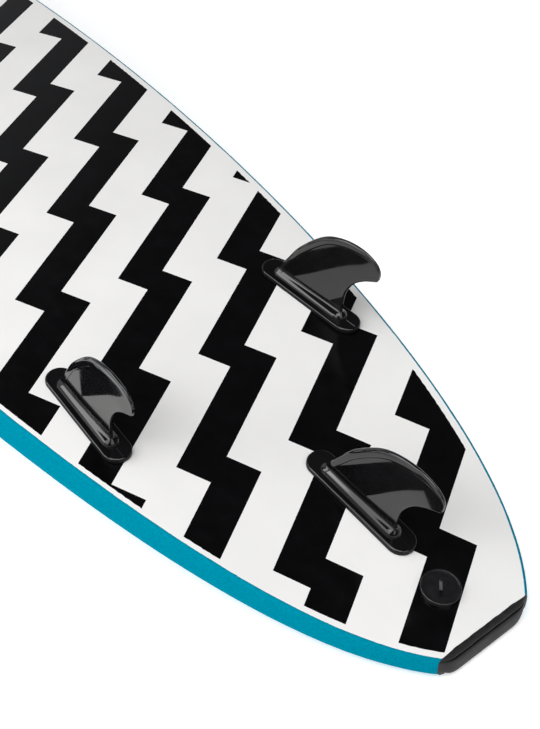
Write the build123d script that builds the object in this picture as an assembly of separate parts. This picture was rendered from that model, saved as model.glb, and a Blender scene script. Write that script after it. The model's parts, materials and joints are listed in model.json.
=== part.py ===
from build123d import *
import math
import os

# Soft-top surfboard, 8 ft by 23 in, lying on its deck with the fins up.
# +X runs from tail to nose, +Y to the left-hand rail as it lies, +Z up, out of the bottom.
# The origin is under the middle of the board, at the level of what it rests on. Millimetres.

# ---- driving dimensions -------------------------------------------------------------
LENGTH = 2438.0              # tail bumper to nose
TAIL_BULGE = 6.5             # how far the tail bumper stands behind the slick's tail edge
RAIL_BULGE = 6.7             # how far the foam rail stands outside the slick's edge
WIDE_POINT = 1277.0          # from the slick's tail edge to the widest place
SLICK_HALF_WIDTH = 285.3     # of the slick bottom at its widest
TAIL_HALF_WIDTH = 57.9       # of the slick at its tail edge
NOSE_HALF_WIDTH = 8.0        # least, at the blunt tip
TAIL_FAIRING = 54.0          # the tail half's outline is a polynomial of the root of s plus this
TAIL_OUTLINE = (-76.88, 22.793, -0.72281, 0.018036, -2.1642e-4)
NOSE_FULLNESS, NOSE_ROUNDNESS = 2.4, 0.476    # powers of the nose half's outline

MID_THICKNESS, TAIL_THICKNESS, NOSE_THICKNESS = 83.0, 34.0, 32.0
MID_RAIL_DEPTH, TAIL_RAIL_DEPTH, NOSE_RAIL_DEPTH = 50.0, 20.0, 18.0
TAIL_ROCKER, NOSE_ROCKER = 69.0, 115.0
MID_BEND = 33.0e-6           # half the bottom's curvature amidships, per mm
REST_CUT = 1.0               # depth of the flat worn on both bumpers, where the board rests

SKIN = 5.0                   # closed-cell foam deck and rails
SLICK = 1.5                  # polyethylene bottom sheet
SLICK_INSET = 0.5            # of the sheet's edge inside the bottom's edge
STRINGER_Y, STRINGER_WIDTH = 45.0, 5.0
TAIL_BLOCK, TAIL_LIP = 9.5, 34.5       # bumper's depth at its end, and under the deck
NOSE_BLOCK, NOSE_LIP = 12.0, 45.0
LIP_HEIGHT = 6.0

CENTRE_FIN_X, SIDE_FIN_X, SIDE_FIN_Y = 180.0, 445.0, 159.0   # from the slick's tail edge
SIDE_FIN_TOE = 3.8           # degrees, fronts towards the centreline
FLANGE_LENGTH, FLANGE_WIDTH, FLANGE_HEIGHT, FLANGE_EDGE = 156.0, 33.0, 6.0, 2.2
PEDESTAL_FOOT, PEDESTAL_TOP = (118.0, 18.0), (108.0, 11.0)
PEDESTAL_HEIGHT = 14.0
FIN_LIFT = 0.4               # flat flange above the rockered bottom, at its middle
# blade: height above the flange's foot, leading edge, trailing edge, thickness
BLADE = [
    (11.0, 54.0, -52.5, 10.0),
    (24.7, 47.2, -53.0, 9.0),
    (43.8, 35.9, -55.3, 8.5),
    (62.4, 24.3, -63.0, 8.0),
    (75.8, 13.7, -74.6, 7.4),
    (85.4, 5.0, -88.0, 6.8),
    (90.2, 0.5, -97.0, 6.4),
    (93.8, -3.4, -101.2, 6.0),
    (101.8, -12.5, -101.5, 5.4),
    (109.2, -22.5, -100.5, 4.8),
    (114.5, -33.0, -97.8, 4.0),
    (117.6, -41.4, -92.1, 3.4),
    (120.2, -49.0, -84.3, 2.6),
    (123.0, -62.0, -76.0, 1.4),
]
POST_RADIUS, POST_LENGTH, POST_SPACING = 6.0, 30.0, 76.0
INSERT_RADIUS, INSERT_LENGTH = 4.0, 14.0
SCREW_RADIUS, HEAD_RADIUS, HEAD_HEIGHT = 3.0, 7.5, 3.5
HEAD_EDGE, HEAD_SLOT_WIDTH, HEAD_SLOT_DEPTH = 0.8, 1.6, 1.6
WASHER_RADIUS, WASHER_BORE, WASHER_THICKNESS = 7.8, 3.3, 1.0
HEAD_GAP = 0.15              # between a screw's head and its washer
RUNNING = 0.05               # radial clearance of a shaft that turns or slides
SEATED = 0.02                # radial clearance of a piece glued or pressed in place
SLEEVE_RADIUS, SLEEVE_FLANGE_RADIUS, SLEEVE_FLANGE = 9.0, 14.0, 2.5
SLEEVE_FLOOR = 4.0
HEAD_ROOM = 0.6              # radial, round a screw's head and its washer
DECK_RECESS = 3.0            # of the plugs' flanges below the deck's surface
PLUG_DROP = 0.3              # of the plugs' other ends below the bottom's surface

LEASH_X, LEASH_Y = 55.7, 5.0
CAP_RADIUS, CAP_HEIGHT, CAP_RIM, CAP_DISH = 20.75, 4.0, 2.2, 1.2
CAP_LIFT, CAP_EDGE = 0.2, 0.8
CAP_SLOT_LENGTH, CAP_SLOT_WIDTH, CAP_SLOT_DEPTH = 20.0, 3.0, 1.8
CAP_SLOT_TURN = -45.0        # degrees from the centreline
STEM_RADIUS, STEM_LENGTH = 6.0, 13.0
CUP_RADIUS, CUP_BORE, CUP_DEPTH, CUP_FLOOR = 13.0, 10.5, 13.0, 3.0
CUP_FLANGE_RADIUS, CUP_FLANGE = 17.0, 2.5
BAR_RADIUS, BAR_INSET = 2.5, 5.0

# where the outline, rocker and section are set, closer together where they bend more
TAIL_STATIONS = [-6.5, -5.5, -3.5, 0.0, 8.0, 20.0, 43.0, 75.0, 110.0, 160.0, 220.0, 300.0, 400.0, 520.0]
MIDDLE_STATIONS = [660.0, 820.0, 1000.0, 1200.0, 1400.0, 1600.0, 1780.0, 1940.0, 2070.0]
NOSE_STATIONS = [2180.0, 2270.0, 2340.0, 2385.0, 2412.0, 2425.0, 2431.5]
STATIONS = TAIL_STATIONS + MIDDLE_STATIONS + NOSE_STATIONS
DECK_POWER = 2.7             # roundness of the section from rail to deck
DECK_ANGLES = (16.0, 36.0, 60.0, 78.0, 90.0)   # points of that section, from rail to deck
BIG = 400.0                  # past any part of a section
FAR = 2000.0                 # past either end of the board
OVER = 5.0                   # how far a cutting shape runs past what it cuts

# ---- the board's shape, all measured from the slick's tail edge -----------------------
TAIL_X = -LENGTH / 2 + TAIL_BULGE       # row x of the slick's tail edge
NOSE_X = LENGTH - TAIL_BULGE            # nose tip, from the slick's tail edge
MIDDLE = LENGTH / 2 - TAIL_BULGE        # the board's middle, from the slick's tail edge
MID_HEIGHT = (TAIL_ROCKER + TAIL_THICKNESS + NOSE_ROCKER + NOSE_THICKNESS) / 2 - REST_CUT
TILT = (NOSE_ROCKER + NOSE_THICKNESS - TAIL_ROCKER - TAIL_THICKNESS) / LENGTH


def slick_half_width(s):
    """Half the width of the slick bottom at s."""
    if s <= 0:
        return TAIL_HALF_WIDTH - 1.4 * (-s) ** 1.1
    if s < WIDE_POINT:
        v = math.sqrt(s + TAIL_FAIRING)
        fair = sum(factor * v**power for power, factor in enumerate(TAIL_OUTLINE))
        return min(fair, SLICK_HALF_WIDTH)
    u = min((s - WIDE_POINT) / (NOSE_X - WIDE_POINT), 1.0)
    outline = (SLICK_HALF_WIDTH + RAIL_BULGE) * (1.0 - u**NOSE_FULLNESS) ** NOSE_ROUNDNESS
    return max(outline - RAIL_BULGE, NOSE_HALF_WIDTH)


def bottom(s):
    """Height of the bottom at s."""
    x = s - MIDDLE
    reach = LENGTH / 2
    rocker = TAIL_ROCKER if x < 0 else NOSE_ROCKER
    cubic = (rocker - MID_BEND * reach**2) / reach**3
    return MID_HEIGHT + TILT * x - MID_BEND * x * x - cubic * abs(x) ** 3


def slope(s):
    """Slope of the bottom at s."""
    return (bottom(s + 1.0) - bottom(s - 1.0)) / 2.0


def share(s):
    """0 amidships to 1 at the tail or the nose."""
    return min(abs(s - MIDDLE) / (LENGTH / 2), 1.0)


def thickness(s):
    """Thickness on the centreline at s."""
    if s < MIDDLE:
        rise = math.sin(math.pi / 2 * (1.0 - share(s)) ** 0.8)
        return TAIL_THICKNESS + (MID_THICKNESS - TAIL_THICKNESS) * rise
    fall = math.cos(math.pi / 2 * share(s) ** 1.6)
    return NOSE_THICKNESS + (MID_THICKNESS - NOSE_THICKNESS) * fall


def rail_depth(s):
    """Depth of the upright side of the rail at s."""
    if s < MIDDLE:
        return MID_RAIL_DEPTH - (MID_RAIL_DEPTH - TAIL_RAIL_DEPTH) * math.exp(-max(s, 0.0) / 420.0)
    return MID_RAIL_DEPTH - (MID_RAIL_DEPTH - NOSE_RAIL_DEPTH) * share(s) ** 2.5


def deck_depth(s, y):
    """Depth of the deck below the bottom at s and y."""
    side = min(abs(y) / (slick_half_width(s) + RAIL_BULGE), 1.0)
    round_over = (1.0 - side**DECK_POWER) ** (1.0 / DECK_POWER)
    return rail_depth(s) + (thickness(s) - rail_depth(s)) * round_over


def rail_points(s, inset):
    """One side of the section at s, from the bottom's edge to the deck's middle, as (y, depth)."""
    edge, side = slick_half_width(s), slick_half_width(s) + RAIL_BULGE - inset
    depth, full = rail_depth(s), thickness(s) - inset
    corner = [(edge, 0.0), (edge + 0.7 * RAIL_BULGE, 1.8), (side - 0.3, 7.0)]
    points = corner + [(side + 0.3, 0.6 * depth), (side, depth)]
    if inset:
        points = [(side, -SKIN), (side, depth)]
    for angle in DECK_ANGLES:
        along = max(math.cos(math.radians(angle)), 0.0) ** (2 / DECK_POWER)
        down = math.sin(math.radians(angle)) ** (2 / DECK_POWER)
        points.append((side * along if angle < 90.0 else 0.0, depth + (full - depth) * down))
    return points


def section(s, inset=0.0):
    """Closed section of the board at s, in by inset on rails and deck."""
    x, z = TAIL_X + s, bottom(s)
    left = [Vector(x, y, z - d) for y, d in rail_points(s, inset)]
    right = [Vector(x, -p.Y, p.Z) for p in left]
    top = Line(right[0], left[0])
    if not inset:
        return Wire([top, Spline(left), Spline(right[::-1])])
    sides = [Line(left[0], left[1]), Spline(left[1:]), Spline(right[:0:-1]), Line(right[1], right[0])]
    return Wire([top] + sides)


def board_solid():
    """The whole outside shape, flat where it rests."""
    shape = Solid.make_loft([section(s) for s in STATIONS], ruled=True)
    above = Box(LENGTH + BIG, 2 * BIG, BIG, align=(Align.CENTER, Align.CENTER, Align.MIN))
    return shape & above


def inner_solid():
    """Inside of the deck and rail skin, open above the bottom."""
    inside = [s for s in STATIONS if 0.0 <= s <= NOSE_X - NOSE_BLOCK]
    stations = [TAIL_BLOCK - TAIL_BULGE] + [s for s in inside if s > TAIL_BLOCK - TAIL_BULGE]
    return Solid.make_loft([section(s, SKIN) for s in stations], ruled=True)


def under_slick():
    """Everything below the slick's lower face."""
    top = [(TAIL_X + s, bottom(s) - SLICK) for s in STATIONS]
    end = LENGTH / 2 + OVER
    ends = [(end, top[-1][1]), (end, -BIG), (-end, -BIG), (-end, top[0][1])]
    face = Plane.XZ * make_face(Polyline(top + ends, close=True))
    return extrude(face, BIG, both=True)


def slick_outline():
    """Upright prism inside the slick's edge."""
    inside = [s for s in STATIONS if 0.0 <= s <= NOSE_X - TAIL_BULGE]
    half = [(TAIL_X + max(s, SLICK_INSET), slick_half_width(s) - SLICK_INSET) for s in inside]
    face = make_face(Polyline(half + [(x, -y) for x, y in reversed(half)], close=True))
    return extrude(face, BIG)


def slab(x0, x1, y0, y1, z0, z1):
    """Box between two corners."""
    return Pos((x0 + x1) / 2, (y0 + y1) / 2, (z0 + z1) / 2) * Box(x1 - x0, y1 - y0, z1 - z0)


# ---- plugs through the board ----------------------------------------------------------
def seat(s, y, toe=0.0):
    """Plane on the bottom at s and y: local z out of the bottom, local x forward."""
    turn, fall = math.radians(toe), slope(s)
    forward = Vector(math.cos(turn), -math.sin(turn), fall * math.cos(turn))
    return Plane(origin=(TAIL_X + s, y, bottom(s)), x_dir=forward, z_dir=Vector(-fall, 0, 1))


def through(plane, x, y=0.0):
    """Distance from the seat's plane to the deck along its own z, under local x and y."""
    start, step = plane.from_local_coords(Vector(x, y, 0)), plane.z_dir * -1.0
    low, high = 10.0, 120.0
    for _ in range(40):
        half = (low + high) / 2
        p = start + step * half
        s = p.X - TAIL_X
        low, high = (half, high) if p.Z > bottom(s) - deck_depth(s, p.Y) else (low, half)
    return low


def rod(radius, z0, z1, x=0.0, y=0.0):
    """Upright cylinder between two heights."""
    return Pos(x, y, z0) * Cylinder(radius, z1 - z0, align=(Align.CENTER, Align.CENTER, Align.MIN))


def sleeve_levels(reach):
    """Heights of a sleeve's deck end, flange top, head seat and post bore's end."""
    end = -reach + DECK_RECESS
    seat_level = end + HEAD_HEIGHT + HEAD_GAP + WASHER_THICKNESS + 0.5
    return end, end + SLEEVE_FLANGE, seat_level, seat_level + SLEEVE_FLOOR


def sleeve(reach, x):
    """Flanged tube that a fin post slides into, closed by a floor that the screw pulls on."""
    end, flange, head_seat, floor = sleeve_levels(reach)
    body = rod(SLEEVE_RADIUS, end, -PLUG_DROP, x) + rod(SLEEVE_FLANGE_RADIUS, end, flange, x)
    body -= rod(POST_RADIUS + RUNNING, floor, OVER, x)
    body -= rod(HEAD_RADIUS + HEAD_ROOM, end - OVER, head_seat, x)
    return body - rod(SCREW_RADIUS + RUNNING, end, 0.0, x)


def sleeve_hole(reach, x):
    """Room that a sleeve takes in the board."""
    end, flange, _, _ = sleeve_levels(reach)
    wide = rod(SLEEVE_FLANGE_RADIUS + SEATED, -reach - OVER, flange + SEATED, x)
    return wide + rod(SLEEVE_RADIUS + SEATED, end, OVER, x)


def fin_screw(reach, x):
    """Slotted screw, from its head in the sleeve up into the post's insert."""
    _, _, head_seat, _ = sleeve_levels(reach)
    under = head_seat - WASHER_THICKNESS - HEAD_GAP
    tip = -POST_LENGTH + FIN_LIFT + INSERT_LENGTH - 1.0
    head = rod(HEAD_RADIUS, under - HEAD_HEIGHT, under, x)
    head = fillet(head.edges().group_by(Axis.Z)[0], HEAD_EDGE)
    slot = Box(2 * HEAD_RADIUS + OVER, HEAD_SLOT_WIDTH, 2 * HEAD_SLOT_DEPTH)
    head -= Pos(x, 0, under - HEAD_HEIGHT) * slot
    return head + rod(SCREW_RADIUS, under, tip, x)


def washer(reach, x):
    """Flat washer between a screw's head and the sleeve's floor."""
    _, _, head_seat, _ = sleeve_levels(reach)
    ring = rod(WASHER_RADIUS, head_seat - WASHER_THICKNESS, head_seat, x)
    return ring - rod(WASHER_BORE, head_seat - OVER, head_seat + OVER, x)


# ---- fins -----------------------------------------------------------------------------
def blade():
    """Swept blade as a loft of foils, each an ellipse from leading to trailing edge."""
    foils = []
    for height, lead, trail, thick in BLADE:
        place = Pos((lead + trail) / 2, 0, height)
        foils.append(place * Ellipse((lead - trail) / 2, thick / 2))
    return loft(foils)


def fin():
    """One moulded fin: flange, pedestal, blade and two bored posts, standing on its own plane."""
    flange = extrude(SlotOverall(FLANGE_LENGTH, FLANGE_WIDTH), FLANGE_HEIGHT)
    flange = fillet(flange.edges().group_by(Axis.Z)[-1], FLANGE_EDGE)
    foot = Pos(0, 0, FLANGE_HEIGHT - 0.5) * SlotOverall(*PEDESTAL_FOOT)
    top = Pos(0, 0, PEDESTAL_HEIGHT) * SlotOverall(*PEDESTAL_TOP)
    body = flange + loft([foot, top]) + blade()
    for x in POSTS.values():
        body += rod(POST_RADIUS, -POST_LENGTH, 1.0, x)
        body -= rod(INSERT_RADIUS + SEATED, -POST_LENGTH - OVER, -POST_LENGTH + INSERT_LENGTH + 1.0, x)
    return body


def insert(x):
    """Threaded insert in a post's end, drawn at its thread's clear radius."""
    ring = rod(INSERT_RADIUS, -POST_LENGTH, -POST_LENGTH + INSERT_LENGTH, x)
    return ring - rod(SCREW_RADIUS + RUNNING, -POST_LENGTH - OVER, 0.0, x)


# ---- leash plug -------------------------------------------------------------------------
def leash_levels(reach):
    """Heights of the plug's deck end, flange top, cup floor and boss foot."""
    end = -reach + DECK_RECESS
    return end, end + CUP_FLANGE, end + CUP_DEPTH, end + CUP_DEPTH + CUP_FLOOR


def leash_plug(reach):
    """Cup on the deck side with a bored boss that reaches the bottom."""
    end, flange, floor, boss = leash_levels(reach)
    body = rod(CUP_FLANGE_RADIUS, end, flange) + rod(CUP_RADIUS, end, boss)
    body += rod(SLEEVE_RADIUS, boss, -PLUG_DROP)
    body -= rod(CUP_BORE, end - OVER, floor)
    body -= rod(STEM_RADIUS + RUNNING, -STEM_LENGTH - 1.0, OVER)
    return body - leash_bar(reach, SEATED, OVER)


def leash_bar(reach, grow=0.0, longer=0.0):
    """Steel bar across the cup, that a leash string is tied round."""
    end, _, _, _ = leash_levels(reach)
    length = 2 * CUP_RADIUS - 1.0 + longer
    return Pos(0, 0, end + BAR_INSET) * Rot(90, 0, 0) * Cylinder(BAR_RADIUS + grow, length)


def leash_hole(reach):
    """Room that the leash plug takes in the board."""
    end, flange, _, boss = leash_levels(reach)
    hole = rod(CUP_FLANGE_RADIUS + SEATED, -reach - OVER, flange + SEATED)
    hole += rod(CUP_RADIUS + SEATED, end, boss + SEATED)
    return hole + rod(SLEEVE_RADIUS + SEATED, end, OVER)


def leash_cap():
    """Slotted cap on the bottom, dished inside its rim, with a stem down the plug's boss."""
    disc = rod(CAP_RADIUS, CAP_LIFT, CAP_HEIGHT)
    disc = fillet(disc.edges().group_by(Axis.Z)[-1], CAP_EDGE)
    face = CAP_HEIGHT - CAP_DISH
    dish = rod(CAP_RADIUS - CAP_RIM, face, CAP_HEIGHT + OVER)
    slot = Box(CAP_SLOT_LENGTH, CAP_SLOT_WIDTH, 2 * CAP_SLOT_DEPTH)
    slot = Rot(0, 0, CAP_SLOT_TURN) * Pos(0, 0, face) * slot
    return disc - dish - slot + rod(STEM_RADIUS, -STEM_LENGTH, CAP_LIFT + 1.0)


# ---- build ------------------------------------------------------------------------------
FINS = {
    "centre": seat(CENTRE_FIN_X, 0.0),
    "left": seat(SIDE_FIN_X, SIDE_FIN_Y, SIDE_FIN_TOE),
    "right": seat(SIDE_FIN_X, -SIDE_FIN_Y, -SIDE_FIN_TOE),
}
POSTS = {"front": POST_SPACING / 2, "rear": -POST_SPACING / 2}
LEASH = seat(LEASH_X, LEASH_Y)


def plug_holes():
    """Room that all sleeves and the leash plug take in the board."""
    holes = [plane * sleeve_hole(through(plane, x), x) for plane in FINS.values() for x in POSTS.values()]
    return holes + [LEASH * leash_hole(through(LEASH, 0.0))]


def board_pieces():
    """Slick, deck skin, both bumpers, and the core cut into three by its stringers."""
    below = under_slick()
    board = board_solid()
    slick = (board & slick_outline()) - below
    core = inner_solid() & below
    shell = board - slick - core
    tail_end = slab(-FAR, TAIL_X + TAIL_BLOCK - TAIL_BULGE, -BIG, BIG, -OVER, BIG)
    tail_end += slab(-FAR, TAIL_X + TAIL_LIP - TAIL_BULGE, -BIG, BIG, -OVER, LIP_HEIGHT)
    nose_end = slab(LENGTH / 2 - NOSE_BLOCK, FAR, -BIG, BIG, -OVER, BIG)
    nose_end += slab(LENGTH / 2 - NOSE_LIP, FAR, -BIG, BIG, -OVER, LIP_HEIGHT)
    deck = shell - tail_end - nose_end
    for hole in plug_holes():
        slick, deck, core = slick - hole, deck - hole, core - hole
    inside, outside = STRINGER_Y - STRINGER_WIDTH / 2, STRINGER_Y + STRINGER_WIDTH / 2
    strips = {
        "foam_core_centre": (-inside, inside),
        "foam_core_left": (outside, BIG),
        "foam_core_right": (-BIG, -outside),
        "stringer_left": (inside, outside),
        "stringer_right": (-outside, -inside),
    }
    nodes = {"slick_bottom": slick, "deck_skin": deck}
    nodes |= {"tail_bumper": shell & tail_end, "nose_bumper": shell & nose_end}
    nodes |= {name: core & slab(-FAR, FAR, y0, y1, -BIG, BIG) for name, (y0, y1) in strips.items()}
    return nodes


def fin_pieces():
    """Each fin with its inserts, sleeves, washers and screws."""
    nodes, moulding = {}, fin()
    for side, plane in FINS.items():
        raised = plane.offset(FIN_LIFT)
        reach = {x: through(plane, x) for x in POSTS.values()}
        nodes[f"{side}_fin"] = raised * moulding
        nodes[f"{side}_fin_inserts"] = Compound([raised * insert(x) for x in reach])
        nodes[f"{side}_fin_sleeves"] = Compound([plane * sleeve(reach[x], x) for x in reach])
        nodes[f"{side}_fin_washers"] = Compound([plane * washer(reach[x], x) for x in reach])
        for end, x in POSTS.items():
            nodes[f"{side}_fin_screw_{end}"] = plane * fin_screw(reach[x], x)
    return nodes


def leash_pieces():
    """Leash plug, its bar and its cap."""
    reach = through(LEASH, 0.0)
    nodes = {"leash_plug": leash_plug(reach), "leash_bar": leash_bar(reach), "leash_plug_cap": leash_cap()}
    return {name: LEASH * shape for name, shape in nodes.items()}


def main():
    """Write every node, and print where the plugs and fins stand."""
    os.makedirs("parts", exist_ok=True)
    nodes = board_pieces() | fin_pieces() | leash_pieces()
    for name, shape in nodes.items():
        export_step(shape, f"parts/{name}.step")
    for name, plane in {**FINS, "leash": LEASH}.items():
        print(name, "origin", tuple(plane.origin), "axis", tuple(plane.z_dir), "forward", tuple(plane.x_dir))


main()
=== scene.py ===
import json
import math

import bmesh
import bpy
from mathutils import Matrix, Vector
from mathutils.geometry import delaunay_2d_cdt


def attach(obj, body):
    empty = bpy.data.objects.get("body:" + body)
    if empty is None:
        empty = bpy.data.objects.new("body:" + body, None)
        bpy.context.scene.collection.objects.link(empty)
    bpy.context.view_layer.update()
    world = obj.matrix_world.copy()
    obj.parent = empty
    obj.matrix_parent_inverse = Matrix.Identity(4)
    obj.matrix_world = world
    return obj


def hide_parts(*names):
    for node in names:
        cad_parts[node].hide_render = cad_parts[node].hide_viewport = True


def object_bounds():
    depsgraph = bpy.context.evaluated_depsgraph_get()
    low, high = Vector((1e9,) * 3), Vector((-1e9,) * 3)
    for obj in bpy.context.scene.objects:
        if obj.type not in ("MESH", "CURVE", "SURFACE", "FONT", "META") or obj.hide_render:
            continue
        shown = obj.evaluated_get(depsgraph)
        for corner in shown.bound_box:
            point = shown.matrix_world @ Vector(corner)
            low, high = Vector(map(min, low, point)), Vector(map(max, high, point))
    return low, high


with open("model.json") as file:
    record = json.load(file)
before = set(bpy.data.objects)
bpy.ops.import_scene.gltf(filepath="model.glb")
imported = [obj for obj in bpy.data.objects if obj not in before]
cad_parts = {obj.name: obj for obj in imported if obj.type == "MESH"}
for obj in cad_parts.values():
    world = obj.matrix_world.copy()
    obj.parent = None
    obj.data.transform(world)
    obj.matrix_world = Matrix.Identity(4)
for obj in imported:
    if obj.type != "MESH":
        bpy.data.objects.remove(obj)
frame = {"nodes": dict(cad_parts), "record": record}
cad_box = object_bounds()

# Looks of a soft-top surfboard that lies on its deck, fins up. Lengths are in millimetres, as the
# board's drawing has them, and MM turns them into metres. s runs forward from the slick's tail edge.
MM = 0.001

# ---- the board's shape: the CAD's curves, with the slimmer rail of the photograph ----
LENGTH = (cad_box[1].x - cad_box[0].x) / MM
END_BULGE, RAIL_BULGE = 6.5, 4.4  # of the bumpers and the rails, out past the slick
WIDE_POINT, SLICK_HALF_WIDTH, TAIL_HALF_WIDTH = 1277.0, 285.3, 57.9
TAIL_TAPER, TAIL_TAPER_POWER = 1.4, 1.1  # of the outline carried on behind the slick
NOSE_HALF_WIDTH = 8.0
TAIL_FAIRING = 54.0
TAIL_OUTLINE = (-76.88, 22.793, -0.72281, 0.018036, -2.1642e-4)
NOSE_FULLNESS, NOSE_ROUNDNESS = 2.4, 0.476
MID_THICKNESS, TAIL_THICKNESS, NOSE_THICKNESS = 83.0, 34.0, 32.0
TAIL_FULLNESS, NOSE_THINNING = 0.8, 1.6
MID_RAIL_DEPTH, TAIL_RAIL_DEPTH, NOSE_RAIL_DEPTH = 50.0, 17.0, 18.0
TAIL_RAIL_REACH, NOSE_RAIL_POWER = 420.0, 2.5
TAIL_ROCKER, NOSE_ROCKER = 69.0, 115.0
MID_BEND = 33.0e-6
REST_CUT = 1.0
DECK_POWER = 2.7
SKIN, SLICK = 5.0, 1.5
TAIL_END, NOSE_END = 0.0, 12.0  # where the skin ends, from the slick's tail edge and the nose
CENTRE_FIN_X, SIDE_FIN_X, SIDE_FIN_Y, SIDE_FIN_TOE = 180.0, 445.0, 159.0, 3.8
FIN_LIFT, POST_SPACING, POST_RADIUS, POST_LENGTH = 0.4, 76.0, 6.0, 30.0
INSERT_RADIUS, INSERT_LENGTH = 4.0, 14.0
SLEEVE_RADIUS, SLEEVE_FLANGE_RADIUS, CUP_FLANGE_RADIUS = 9.0, 14.0, 17.0
LEASH_X, LEASH_Y = 55.7, 5.0
SEATED = 0.02

TAIL_X = cad_box[0].x / MM + END_BULGE  # row x of the slick's tail edge
NOSE_X = LENGTH - END_BULGE
MIDDLE = LENGTH / 2 - END_BULGE
MID_HEIGHT = (TAIL_ROCKER + TAIL_THICKNESS + NOSE_ROCKER + NOSE_THICKNESS) / 2 - REST_CUT
TILT = (NOSE_ROCKER + NOSE_THICKNESS - TAIL_ROCKER - TAIL_THICKNESS) / LENGTH


def slick_half_width(s):
    """Half the width of the slick bottom at s."""
    if s <= 0:
        return TAIL_HALF_WIDTH - TAIL_TAPER * (-s) ** TAIL_TAPER_POWER
    if s < WIDE_POINT:
        v = math.sqrt(s + TAIL_FAIRING)
        fair = sum(factor * v**power for power, factor in enumerate(TAIL_OUTLINE))
        return min(fair, SLICK_HALF_WIDTH)
    u = min((s - WIDE_POINT) / (NOSE_X - WIDE_POINT), 1.0)
    outline = (SLICK_HALF_WIDTH + RAIL_BULGE) * (1.0 - u**NOSE_FULLNESS) ** NOSE_ROUNDNESS
    return max(outline - RAIL_BULGE, NOSE_HALF_WIDTH)


def bottom(s):
    """Height of the bottom at s."""
    x, reach = s - MIDDLE, LENGTH / 2
    rocker = TAIL_ROCKER if x < 0 else NOSE_ROCKER
    cubic = (rocker - MID_BEND * reach**2) / reach**3
    return MID_HEIGHT + TILT * x - MID_BEND * x * x - cubic * abs(x) ** 3


def slope(s):
    """Slope of the bottom at s."""
    return (bottom(s + 1.0) - bottom(s - 1.0)) / 2.0


def share(s):
    """0 amidships to 1 at the tail or the nose."""
    return min(abs(s - MIDDLE) / (LENGTH / 2), 1.0)


def thickness(s):
    """Thickness on the centreline at s."""
    if s < MIDDLE:
        rise = math.sin(math.pi / 2 * (1.0 - share(s)) ** TAIL_FULLNESS)
        return TAIL_THICKNESS + (MID_THICKNESS - TAIL_THICKNESS) * rise
    fall = math.cos(math.pi / 2 * share(s) ** NOSE_THINNING)
    return NOSE_THICKNESS + (MID_THICKNESS - NOSE_THICKNESS) * fall


def rail_depth(s):
    """Depth of the upright side of the rail at s."""
    if s < MIDDLE:
        shallower = math.exp(-max(s, 0.0) / TAIL_RAIL_REACH)
        return MID_RAIL_DEPTH - (MID_RAIL_DEPTH - TAIL_RAIL_DEPTH) * shallower
    return MID_RAIL_DEPTH - (MID_RAIL_DEPTH - NOSE_RAIL_DEPTH) * share(s) ** NOSE_RAIL_POWER


def crown(side):
    """The deck's curve from side to side: 1 in the middle, 0 at a share of 1 of the half width."""
    return (1.0 - side**DECK_POWER) ** (1.0 / DECK_POWER)


def deck_depth(s, y):
    """Depth of the deck below the bottom at s and y."""
    side = min(abs(y) / (slick_half_width(s) + RAIL_BULGE), 1.0)
    return rail_depth(s) + (thickness(s) - rail_depth(s)) * crown(side)


def seat(s, y, toe=0.0, lift=0.0):
    """Matrix, in millimetres, of a plug's or fin's own frame on the bottom: z out of it, x forward."""
    turn, fall = math.radians(toe), slope(s)
    out = Vector((-fall, 0.0, 1.0)).normalized()
    forward = Vector((math.cos(turn), -math.sin(turn), fall * math.cos(turn))).normalized()
    across = out.cross(forward)
    place = Matrix.Translation(Vector((TAIL_X + s, y, bottom(s))) + out * lift)
    return place @ Matrix((forward, across, out)).transposed().to_4x4()


FINS = {
    "centre": (CENTRE_FIN_X, 0.0, 0.0),
    "left": (SIDE_FIN_X, SIDE_FIN_Y, SIDE_FIN_TOE),
    "right": (SIDE_FIN_X, -SIDE_FIN_Y, -SIDE_FIN_TOE),
}
POSTS = (POST_SPACING / 2, -POST_SPACING / 2)


# ---- small helpers ----
SHARP_ANGLE = 35.0           # faces that meet at more than this keep a crisp edge


def mix(a, b, t):
    """From a at t 0 to b at t 1."""
    return a + (b - a) * t


def ease(t):
    """Smooth step from 0 to 1, held at both ends."""
    t = min(max(t, 0.0), 1.0)
    return t * t * (3.0 - 2.0 * t)


def steps(low, high, step):
    """Even values from low to high, both kept, about step apart."""
    count = max(1, round((high - low) / step))
    return [low + (high - low) * k / count for k in range(count + 1)]


def waver(t, seed=0.0):
    """A slow irregular wave along t, between about -1 and 1."""
    waves = ((0.081, 0.45), (0.173, 0.3), (0.397, 0.25))
    return sum(size * math.sin(rate * t + seed * (k + 1.7)) for k, (rate, size) in enumerate(waves))


def put(name, data):
    """New object in the scene."""
    found = bpy.data.objects.new(name, data)
    bpy.context.scene.collection.objects.link(found)
    return found


def make_object(name, points, faces, slots=(), face_slots=None, place=Matrix()):
    """New mesh object from points in millimetres, in the frame of place."""
    mesh = bpy.data.meshes.new(name)
    mesh.from_pydata([(place @ Vector(p)) * MM for p in points], [], faces)
    for material in slots:
        mesh.materials.append(material)
    if face_slots:
        mesh.polygons.foreach_set("material_index", face_slots)
    mesh.validate()
    return put(name, mesh)


def finish_mesh(piece, angle=SHARP_ANGLE):
    """Outward faces, smooth shading, and crisp edges where faces meet at more than angle."""
    sheet = bmesh.new()
    sheet.from_mesh(piece.data)
    bmesh.ops.recalc_face_normals(sheet, faces=sheet.faces)
    sheet.to_mesh(piece.data)
    sheet.free()
    piece.data.shade_smooth()
    piece.data.set_sharp_from_angle(angle=math.radians(angle))


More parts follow.
